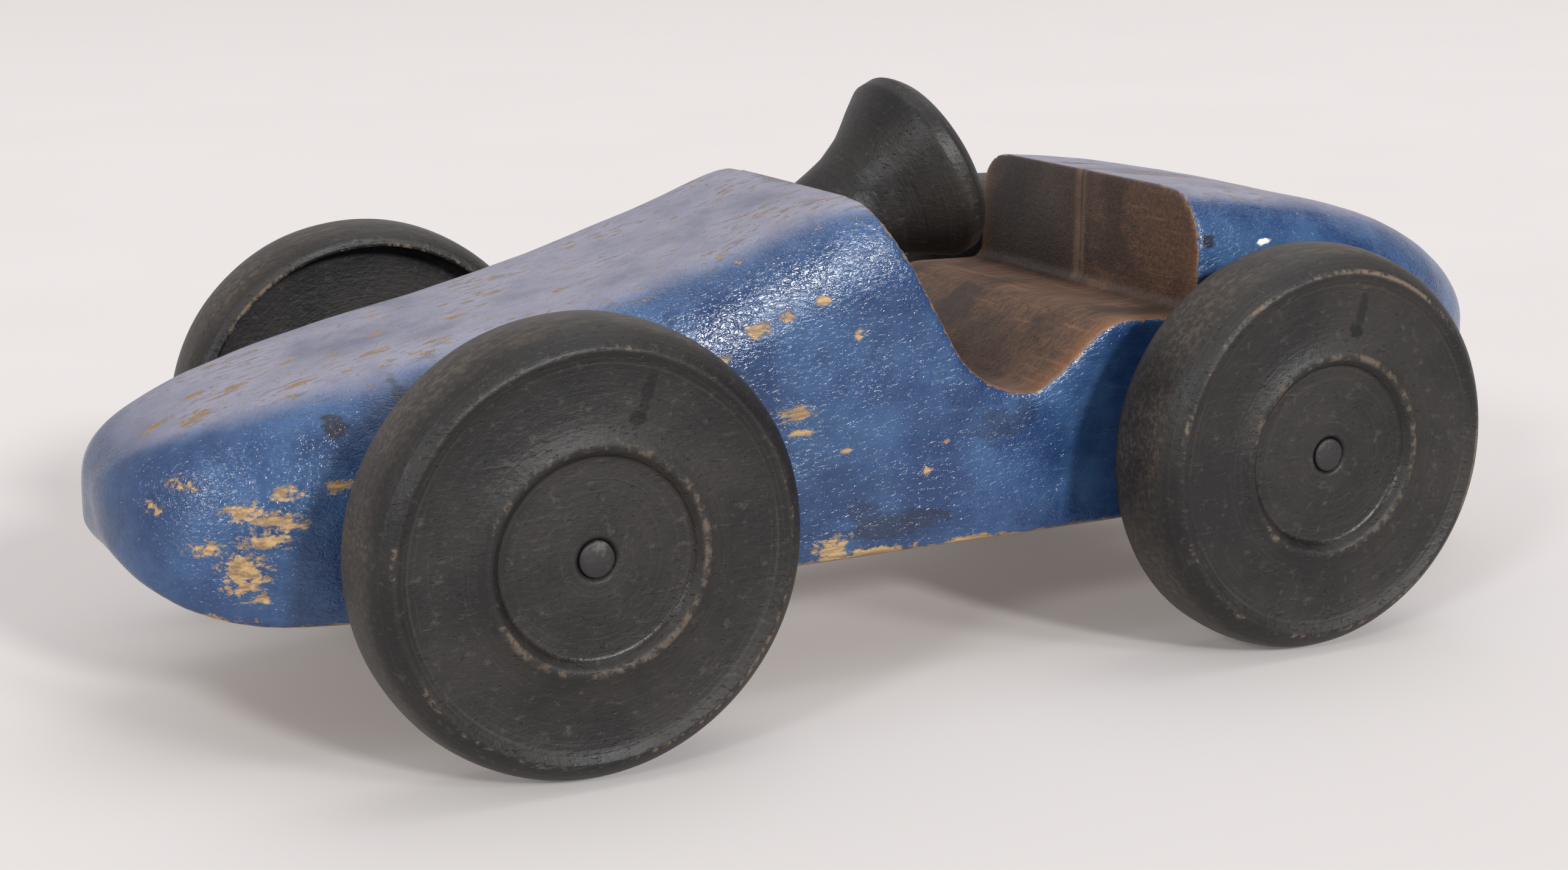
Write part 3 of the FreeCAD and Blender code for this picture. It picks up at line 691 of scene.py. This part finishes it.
# The wheels' finish: black stain rubbed into the turned wood. Lathe rings show through, the
# ridge and lip are worn to the bare wood, and the tread is scuffed brown and grey.
def turned_black(name, ridges, tread_radius, glossy, drips=()):
    """Make one worn black finish.

    ridges are rings of wear, each a radius, depth, reach and strength in mm. drips are dark
    runs of stain, each a centre and reach in mm on the lathe, and a strength.
    """
    material, tree, shader = new_material(name)
    lathe = stored(tree, "on_lathe").outputs["Vector"]
    place = own_place(tree)
    side_x, side_y, depth = axes(tree, lathe)
    radius = maths(tree, "SQRT", maths(tree, "ADD", times(tree, side_x, side_x),
                                       times(tree, side_y, side_y)))
    rings_at = tree.nodes.new("ShaderNodeCombineXYZ")
    put(tree, rings_at.inputs[0], times(tree, radius, 1400.0))
    put(tree, rings_at.inputs[1], times(tree, depth, 1400.0))
    soft_turn = speckle(tree, place, 28.0, 2.0, 0.5)
    put(tree, rings_at.inputs[2], times(tree, soft_turn, 3.0))
    lathe_rings = speckle(tree, rings_at.outputs[0], 1.0, 4.0, 0.65)
    cloud = speckle(tree, place, 38.0, 4.0, 0.6)
    dust = speckle(tree, place, 420.0, 4.0, 0.65)
    fibres = speckle(tree, stretched(tree, place, (180.0, 900.0, 900.0)), 1.0, 4.0, 0.6)
    flecks = speckle(tree, stretched(tree, place, (520.0, 520.0, 1700.0)), 1.0, 2.0, 0.5)
    rag = speckle(tree, place, 620.0, 3.0, 0.6)

    black = blend_colour(tree, ramp(tree, cloud, 0.35, 0.65),
                         colour(21, 20, 20), colour(35, 32, 30))
    black = over(tree, black, ramp(tree, lathe_rings, 0.54, 0.76, 0.0, 0.28), (66, 60, 55))
    black = over(tree, black, ramp(tree, lathe_rings, 0.44, 0.28, 0.0, 0.4), (17, 17, 17))
    black = over(tree, black, ramp(tree, fibres, 0.60, 0.76, 0.0, 0.35), (78, 70, 62))
    black = over(tree, black, ramp(tree, dust, 0.57, 0.74, 0.0, 0.4), (74, 70, 67))
    black = over(tree, black, ramp(tree, flecks, 0.66, 0.72, 0.0, 0.7), (13, 13, 13))
    on_tread = ramp(tree, radius, tread_radius - 0.0026, tread_radius - 0.0004)
    scuffed = times(tree, on_tread, ramp(tree, cloud, 0.34, 0.62, 0.25, 0.85))
    scuff_colour = blend_colour(tree, ramp(tree, fibres, 0.4, 0.66),
                                colour(48, 43, 39), colour(78, 69, 61))
    black = blend_colour(tree, scuffed, black, scuff_colour)
    worn = 0.0
    for ring_radius, ring_depth, reach, strength in ridges:
        off_radius = maths(tree, "SUBTRACT", radius, ring_radius * MM)
        off_depth = maths(tree, "SUBTRACT", depth, -ring_depth * MM)
        off = maths(tree, "SQRT", maths(tree, "ADD", times(tree, off_radius, off_radius),
                                        times(tree, off_depth, off_depth)))
        near = ramp(tree, off, reach * MM, reach * 0.25 * MM)
        patchy = ramp(tree, maths(tree, "ADD", times(tree, cloud, 0.55),
                                  times(tree, rag, 0.45)), 0.50, 0.60)
        worn = maths(tree, "MAXIMUM", worn, times(tree, times(tree, near, patchy), strength))
    black = over(tree, black, worn, (112, 96, 80))
    drip = 0.0
    for centre, reach, strength in drips:
        run = times(tree, spot(tree, lathe, centre, reach, rag, 0.3), strength)
        drip = maths(tree, "MAXIMUM", drip, run)
    black = over(tree, black, drip, (11, 11, 12))
    put(tree, shader.inputs["Base Color"], black)

    corner_off = maths(tree, "ABSOLUTE", maths(tree, "SUBTRACT", radius, HUB_CORNER * MM))
    in_corner = times(tree, ramp(tree, corner_off, 0.0016, 0.0006),
                      ramp(tree, depth, -0.0011, -0.0016))
    rough = ramp(tree, cloud, 0.3, 0.7, *glossy)
    rough = maths(tree, "ADD", rough, times(tree, worn, 0.15))
    shiny = maths(tree, "MAXIMUM", in_corner, drip)
    rough = maths(tree, "SUBTRACT", rough, times(tree, shiny, 0.22), clamp=True)
    put(tree, shader.inputs["Roughness"], rough)
    shader.inputs["Specular IOR Level"].default_value = 0.34
    height = maths(tree, "MULTIPLY_ADD", lathe_rings, 0.4, times(tree, fibres, 0.4))
    height = maths(tree, "MULTIPLY_ADD", rag, 0.7, height)
    height = maths(tree, "SUBTRACT", height, times(tree, ramp(tree, flecks, 0.64, 0.72), 0.6))
    stand_up(tree, shader, height, 0.6, 0.4)
    return material


wheel_finish = turned_black(
    "black_turned_wood",
    ((24.4, -0.1, 1.3, 0.45), (44.7, 0.4, 0.9, 0.65), (44.9, 24.3, 1.0, 0.8)),
    0.050, (0.44, 0.58),
    (((0.0, -35.5, -1.5), (1.7, 6.0, 5.0), 0.7), ((0.6, -30.6, -1.5), (2.4, 2.4, 5.0), 0.9)))

wheel_turns = {"front_left": -0.33, "front_right": 2.1, "rear_left": -0.21, "rear_right": 4.4}
for wheel_name, turn in wheel_turns.items():
    node = wheel_name + "_wheel"
    low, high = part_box(node)
    outward = 1 if wheel_name.endswith("left") else -1
    centre = (low + high) / 2 / MM
    outer_face = (high.y if outward > 0 else low.y) / MM
    wheel_bm = bmesh.new()
    turned(wheel_bm, WHEEL_PROFILE, 4, WHEEL_STEPS)
    keep_own_place(wheel_bm, "on_lathe")
    bmesh.ops.rotate(wheel_bm, verts=wheel_bm.verts, matrix=Matrix.Rotation(turn, 3, "Z"))
    for vert in wheel_bm.verts:
        spread = Vector(vert.co[:2]).length
        uneven = noise.noise(Vector((vert.co.x / 22 + turn, vert.co.y / 22, vert.co.z / 20)))
        push = OUT_OF_ROUND * uneven * min(1.0, max(0.0, (spread - 16) / 10))
        vert.co *= 1 + push / max(spread, 1.0)
    bmesh.ops.rotate(wheel_bm, verts=wheel_bm.verts,
                     matrix=Matrix.Rotation(math.radians(-90 * outward), 3, "X"))
    bmesh.ops.translate(wheel_bm, verts=wheel_bm.verts, vec=(centre.x, outer_face, centre.z))
    shade_smooth(wheel_bm)
    wheel = new_piece(wheel_bm, node + "_turned")
    wheel.data.materials.append(wheel_finish)
    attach(wheel, wheel_name.split("_")[0] + "_wheelset")
    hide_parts(node)


# The steering wheel. A solid knob turned like a trumpet bell, with a thin neck towards the
# cowl and a round rim. It is stained black and glued to a dowel peg that turns in the cowl.
# Each row: radius, distance along the knob from its neck and the round of that corner, in mm.
KNOB_PROFILE = (
    (4.0, 0.0, 0.0),
    (12.4, 0.0, 0.8),
    (13.0, 5.5, 6.0),
    (14.5, 12.4, 6.0),
    (17.6, 19.8, 6.0),
    (22.0, 25.9, 5.0),
    (24.55, 30.1, 3.4),
    (24.55, 34.4, 3.4),
    (21.0, 37.3, 3.0),
    (14.0, 34.3, 5.0),
    (4.0, 32.3, 0.0),
)
KNOB_STEPS = 128
# The gap between the cowl and the knob, and how far the peg goes into each of them.
KNOB_GAP = 1.3
PEG_IN_COWL = 20.7
PEG_IN_KNOB = 32.3
knob_finish = turned_black("black_knob_wood", ((24.8, -31.5, 1.6, 0.1),), 0.2, (0.40, 0.52))
knob_bm = bmesh.new()
turned(knob_bm, [(radius, -reach, bend) for radius, reach, bend in KNOB_PROFILE], 5, KNOB_STEPS)
keep_own_place(knob_bm, "on_lathe")
lean = STEERING_AXIS.to_track_quat("Z", "Y").to_matrix()
bmesh.ops.rotate(knob_bm, verts=knob_bm.verts, matrix=lean)
bmesh.ops.translate(knob_bm, verts=knob_bm.verts, vec=STEERING_FOOT + STEERING_AXIS * KNOB_GAP)
shade_smooth(knob_bm)
knob = new_piece(knob_bm, "steering_knob_turned")
knob.data.materials.append(knob_finish)
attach(knob, "steering")
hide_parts("steering_knob")

peg_wood, tree, shader = new_material("bare_peg_dowel")
place = own_place(tree)
along_peg = tree.nodes.new("ShaderNodeMapping")
put(tree, along_peg.inputs["Vector"], place)
along_peg.inputs["Rotation"].default_value = (0, STEERING_TILT, 0)
peg_fibres, peg_bands = grain(tree, along_peg.outputs["Vector"])
put(tree, shader.inputs["Base Color"],
    blend_colour(tree, ramp(tree, peg_fibres, 0.3, 0.7), colour(110, 82, 56), colour(160, 126, 90)))
put(tree, shader.inputs["Roughness"], ramp(tree, peg_bands, 0.3, 0.7, 0.5, 0.65))
stand_up(tree, shader, peg_fibres, 0.4, 0.3)
peg = dowel("steering_peg_dowel", STEERING_FOOT - STEERING_AXIS * PEG_IN_COWL,
            STEERING_FOOT + STEERING_AXIS * (KNOB_GAP + PEG_IN_KNOB), DOWEL_RADIUS)
peg.data.materials.append(peg_wood)
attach(peg, "steering")
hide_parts("steering_peg")


# The studio: a pale sweep of paper under and behind the car, and soft lights.
FLOOR_HALF = 7.0
sweep_bm = bmesh.new()
bmesh.ops.create_grid(sweep_bm, x_segments=1, y_segments=1, size=FLOOR_HALF / MM)
sweep = new_piece(sweep_bm, "paper_floor")
paper, tree, shader = new_material("pale_paper")
place = own_place(tree)
paper_cloud = speckle(tree, place, 6.0, 2.0, 0.5)
paper_colour = blend_colour(tree, paper_cloud, colour(182, 179, 178), colour(187, 184, 183))
# Painted shade: the paper is laid darker further behind the car.
paper_painted_falloff = ramp(tree, axes(tree, place)["Y"], -0.5, -3.2)
paper_colour = over(tree, paper_colour, paper_painted_falloff, (176, 172, 172))
put(tree, shader.inputs["Base Color"], paper_colour)
# The paper glows faintly: painted light that lifts the shadows on it.
put(tree, shader.inputs["Emission Color"], colour(255, 246, 242))
shader.inputs["Emission Strength"].default_value = 0.12
shader.inputs["Roughness"].default_value = 0.85
shader.inputs["Specular IOR Level"].default_value = 0.2
sweep.data.materials.append(paper)

# A white wall glows behind the far side and a large soft light hangs overhead.
world = bpy.data.worlds.new("studio")
world.use_nodes = True
room = world.node_tree
sky = room.nodes["Background"]
direction = axes(room, room.nodes.new("ShaderNodeTexCoord").outputs["Generated"])
behind = ramp(room, direction["Y"], 0.1, -0.5)
overhead = ramp(room, direction["Z"], 0.5, 0.85)
lit_end = ramp(room, direction["X"], 0.4, 0.85)
walls = blend_colour(room, lit_end, colour(52, 52, 56), colour(205, 203, 203))
ceiling = blend_colour(room, overhead, walls, colour(244, 241, 240))
put(room, sky.inputs["Color"], blend_colour(room, behind, ceiling, colour(226, 223, 224)))
sky.inputs["Strength"].default_value = 1.0
bpy.context.scene.world = world
bpy.context.scene.view_settings.view_transform = "Standard"


def softbox(name, towards, spread, strength):
    """Light the scene evenly from far away; spread is how wide the light looks, in degrees."""
    light = bpy.data.lights.new(name, "SUN")
    light.angle = math.radians(spread)
    light.energy = strength
    lamp = bpy.data.objects.new(name, light)
    lamp.rotation_euler = Vector(towards).to_track_quat("Z", "Y").to_euler()
    bpy.context.scene.collection.objects.link(lamp)


softbox("main_light", (-0.11, 1.0, 0.45), 7, 2.35)
softbox("right_light", (-0.36, 0.82, 0.42), 10, 1.1)
softbox("left_light", (0.75, 0.51, 0.42), 9, 1.15)
softbox("overhead_light", (-0.3, -0.1, 1.0), 45, 0.7)

# The camera, at a low three-quarter angle from the nose end of the near side.
AIM = Vector((19.5, 0.0, 48.9)) * MM
AZIMUTH = math.radians(153.1)
ELEVATION = math.radians(13.5)
ROLL = math.radians(-0.29)
DISTANCE = 618.2 * MM
backwards = Vector((math.sin(AZIMUTH) * math.cos(ELEVATION),
                    -math.cos(AZIMUTH) * math.cos(ELEVATION), math.sin(ELEVATION)))
camera_data = bpy.data.cameras.new("camera")
camera_data.lens = 56.47
camera_data.sensor_width = 36.0
camera = bpy.data.objects.new("camera", camera_data)
camera.location = AIM + backwards * DISTANCE
facing_car = backwards.to_track_quat("Z", "Y").to_matrix() @ Matrix.Rotation(ROLL, 3, "Z")
camera.rotation_euler = facing_car.to_euler()
bpy.context.scene.collection.objects.link(camera)
bpy.context.scene.camera = camera
